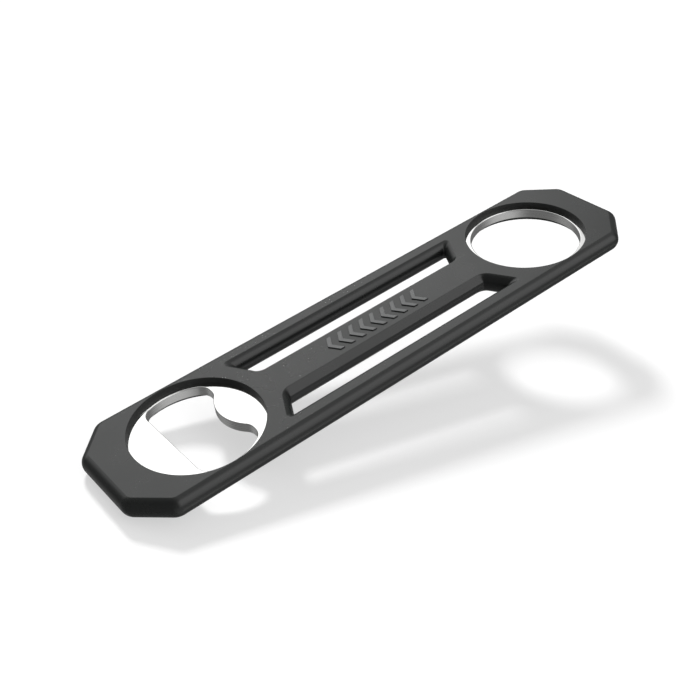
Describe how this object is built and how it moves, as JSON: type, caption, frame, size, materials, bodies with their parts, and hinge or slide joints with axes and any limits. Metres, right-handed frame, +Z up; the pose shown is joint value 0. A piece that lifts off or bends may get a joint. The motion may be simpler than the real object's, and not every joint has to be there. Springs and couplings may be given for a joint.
{
  "type": "bar blade bottle opener",
  "caption": "Flat bar opener: a steel blade with a cap mouth and a finger ring, clamped inside a slotted black moulded grip.",
  "frame": {"origin": "centre of the bar's underside, on the surface it lies on", "axes": "+X along the bar from the cap mouth to the finger ring, +Z up through the ribbed face, +Y across the bar"},
  "size_m": [0.18, 0.0422, 0.0067],
  "materials": {
    "blade_steel": "fine linear brushed faces, satin punched walls",
    "grip_polymer": "matte black moulded, fine spark texture"
  },
  "bodies": {
    "root": {"steel_blade": "blade_steel", "lower_shell": "grip_polymer", "upper_shell": "grip_polymer"}
  },
  "joints": []
}
